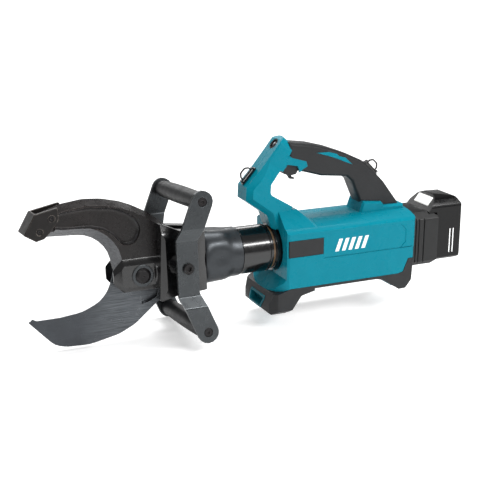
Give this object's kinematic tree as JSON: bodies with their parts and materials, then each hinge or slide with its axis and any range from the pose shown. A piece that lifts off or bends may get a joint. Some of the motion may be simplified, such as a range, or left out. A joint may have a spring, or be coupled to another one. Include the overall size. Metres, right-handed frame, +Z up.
{
  "type": "rescue cutter",
  "caption": "Cordless hydraulic rescue cutter: curved shearing jaws on a swivelling head with a carrying handle, a motor body with a top grip, and a slide-on battery.",
  "frame": {"origin": "middle of the sole of the front foot", "axes": "+X from the jaws to the battery, +Z up, -Y the tool's left side"},
  "size_m": [0.8103, 0.2202, 0.3296],
  "materials": {
    "teal": "satin moulded",
    "rubber": "fine-grained",
    "black_plastic": "gloss moulded",
    "grey_plastic": "fine-grained",
    "satin_steel": "dark satin",
    "dark_steel": "blackened",
    "gloss_steel": "gloss black",
    "cast": "satin black",
    "blade": "machined",
    "bright": "ground",
    "bronze": "turned",
    "copper": "wound",
    "white_plastic": "smooth",
    "board": "coated",
    "lens": "clear over dark"
  },
  "bodies": {
    "tool": {"housing_left": "teal", "housing_right": "teal", "base_bumper": "rubber", "front_foot": "teal", "rear_foot": "teal", "front_socket": "teal", "side_plate_left": "rubber", "side_plate_right": "rubber", "grip": "rubber", "grip_inlay_left": "teal", "grip_inlay_right": "teal", "switch_body": "black_plastic", "lamp_bezel": "black_plastic", "lamp_lens": "lens", "ring_bracket_front": "black_plastic", "ring_bracket_rear": "black_plastic", "housing_screw_1": "dark_steel", "housing_screw_2": "dark_steel", "pump_block": "cast", "oil_reservoir": "black_plastic", "gearbox": "cast", "motor_stator": "copper", "control_board": "board", "battery_mount": "grey_plastic", "terminal_block": "bronze"},
    "head": {"cylinder_tube": "gloss_steel", "rod_gland": "bronze", "return_spring": "dark_steel", "head_dome": "cast", "head_fork": "gloss_steel", "pivot_bolt": "dark_steel", "pivot_washer": "satin_steel", "pivot_nut": "dark_steel", "handle_strap_left": "satin_steel", "handle_strap_right": "satin_steel", "handle_bar_upper": "rubber", "handle_bar_lower": "rubber", "handle_bolt_upper": "dark_steel", "handle_bolt_lower": "dark_steel", "middle_bolt_left": "dark_steel", "middle_bolt_right": "dark_steel"},
    "upper_jaw": {"upper_jaw": "dark_steel", "tip_block": "dark_steel", "tip_screw_1": "dark_steel", "tip_screw_2": "dark_steel", "upper_tail_pin": "bright"},
    "lower_jaw": {"lower_jaw": "blade", "lower_tail_pin": "bright"},
    "upper_link": {"upper_link": "satin_steel"},
    "lower_link": {"lower_link": "satin_steel"},
    "ram": {"piston": "bright", "crosshead": "satin_steel", "cross_pin": "bright"},
    "trigger": {"trigger": "rubber"},
    "trigger_lock": {"trigger_lock": "rubber"},
    "battery": {"battery_case": "black_plastic"},
    "battery_latch": {"battery_latch": "white_plastic"},
    "lanyard_ring_front": {"lanyard_ring_front": "dark_steel"},
    "lanyard_ring_rear": {"lanyard_ring_rear": "dark_steel"},
    "motor_rotor": {"motor_rotor": "bright"}
  },
  "joints": [
    {"name": "head_swivel", "type": "hinge", "parent": "tool", "child": "head", "pos_m": [0.007, 0, 0.11], "axis": [1, 0, 0], "range_deg": [-170, 170]},
    {"name": "upper_jaw_pivot", "type": "hinge", "parent": "head", "child": "upper_jaw", "pos_m": [-0.241, -0.00151, 0.09508], "axis": [0, -0.995, 0.1004], "range_deg": [0, 36]},
    {"name": "lower_jaw_pivot", "type": "hinge", "parent": "head", "child": "lower_jaw", "pos_m": [-0.241, -0.00151, 0.09508], "axis": [0, 0.995, -0.1004], "range_deg": [0, 36]},
    {"name": "upper_link_pivot", "type": "hinge", "parent": "upper_jaw", "child": "upper_link", "pos_m": [-0.20289, 0.0007, 0.11696], "axis": [0, 0.995, -0.1004], "range_deg": [0, 61.95]},
    {"name": "lower_link_pivot", "type": "hinge", "parent": "lower_jaw", "child": "lower_link", "pos_m": [-0.20289, -0.00371, 0.07319], "axis": [0, -0.995, 0.1004], "range_deg": [0, 61.95]},
    {"name": "ram_slide", "type": "slide", "parent": "head", "child": "ram", "axis": [-1, 0, 0], "range_m": [0, 0.0335], "deforming": ["return_spring"]},
    {"name": "trigger_pull", "type": "slide", "parent": "tool", "child": "trigger", "axis": [0, 0, 1], "range_m": [0, 0.006], "stiffness_N_per_m": 100, "springref_m": -0.002},
    {"name": "trigger_lock_tilt", "type": "hinge", "parent": "trigger", "child": "trigger_lock", "pos_m": [0.035, 0, 0.244], "axis": [0, 1, 0], "range_deg": [-12, 12]},
    {"name": "battery_slide", "type": "slide", "parent": "tool", "child": "battery", "axis": [0, 0, 1], "range_m": [0, 0.09]},
    {"name": "battery_latch_press", "type": "slide", "parent": "battery", "child": "battery_latch", "axis": [0.774, 0, -0.6332], "range_m": [0, 0.0025], "stiffness_N_per_m": 300, "springref_m": -0.001},
    {"name": "lanyard_front_fold", "type": "hinge", "parent": "tool", "child": "lanyard_ring_front", "pos_m": [-0.0405, 0, 0.2424], "axis": [0.6691, 0, 0.7431], "range_deg": [-75, 75]},
    {"name": "lanyard_rear_fold", "type": "hinge", "parent": "tool", "child": "lanyard_ring_rear", "pos_m": [0.2035, 0, 0.2355], "axis": [0.7071, 0, -0.7071], "range_deg": [-75, 75]},
    {"name": "motor_spin", "type": "hinge", "parent": "tool", "child": "motor_rotor", "pos_m": [0.157, 0, 0.11], "axis": [1, 0, 0], "continuous": true}
  ],
  "couplings": [
    {"joint": "lower_jaw_pivot", "follows": "upper_jaw_pivot", "ratio": 1},
    {"joint": "upper_link_pivot", "follows": "upper_jaw_pivot", "ratio": 1.7195},
    {"joint": "lower_link_pivot", "follows": "upper_jaw_pivot", "ratio": 1.7195},
    {"joint": "ram_slide", "follows": "upper_jaw_pivot", "m_per_rad": 0.05328}
  ]
}
